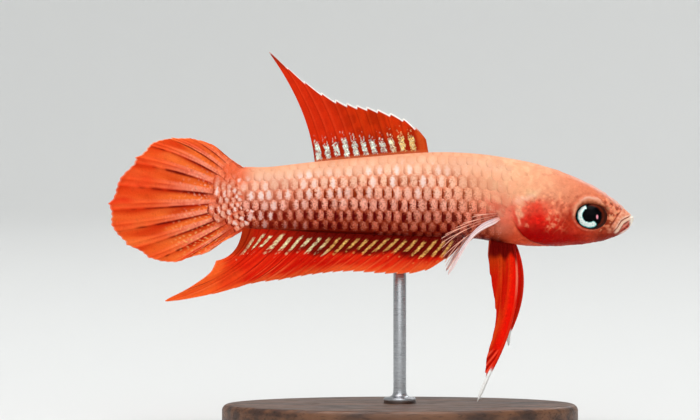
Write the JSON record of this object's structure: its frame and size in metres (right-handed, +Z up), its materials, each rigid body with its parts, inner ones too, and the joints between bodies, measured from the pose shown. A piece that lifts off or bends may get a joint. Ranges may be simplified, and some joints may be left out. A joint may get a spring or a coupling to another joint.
{
  "type": "betta fish",
  "caption": "Slim orange-red male betta fish with a pointed dorsal fin, long anal fin, rounded tail and hanging pelvic fins, as a life-size model on a rod and an oval base.",
  "frame": {"origin": "centre of the underside of the stand's oval base", "axes": "+X to the fish's head, +Y to the fish's left side, +Z up"},
  "size_m": [0.0649, 0.027, 0.0469],
  "materials": {
    "scaled_skin": "satin, with pale pearly scales edged in red-brown",
    "eye": "wet gloss, with a pale blue iris crescent",
    "fin_web": "satin orange-red web over fine rays, streaked with gold and cream near its root",
    "clear_fin": "clear web with thin pinkish rays",
    "stand_wood": "oiled dark walnut",
    "stand_steel": "fine brushed"
  },
  "bodies": {
    "root": {"head": "scaled_skin", "lower_jaw": "scaled_skin", "gill_cover_left": "scaled_skin", "gill_cover_right": "scaled_skin", "trunk_front": "scaled_skin", "trunk_rear": "scaled_skin", "tail_base": "scaled_skin", "eye_left": "eye", "eye_right": "eye", "fin_dorsal": "fin_web", "fin_anal": "fin_web", "fin_caudal": "fin_web", "fin_pelvic_left": "fin_web", "fin_pelvic_right": "fin_web", "fin_pectoral_left": "clear_fin", "fin_pectoral_right": "clear_fin", "stand_base": "stand_wood", "stand_rod": "stand_steel"}
  },
  "joints": []
}
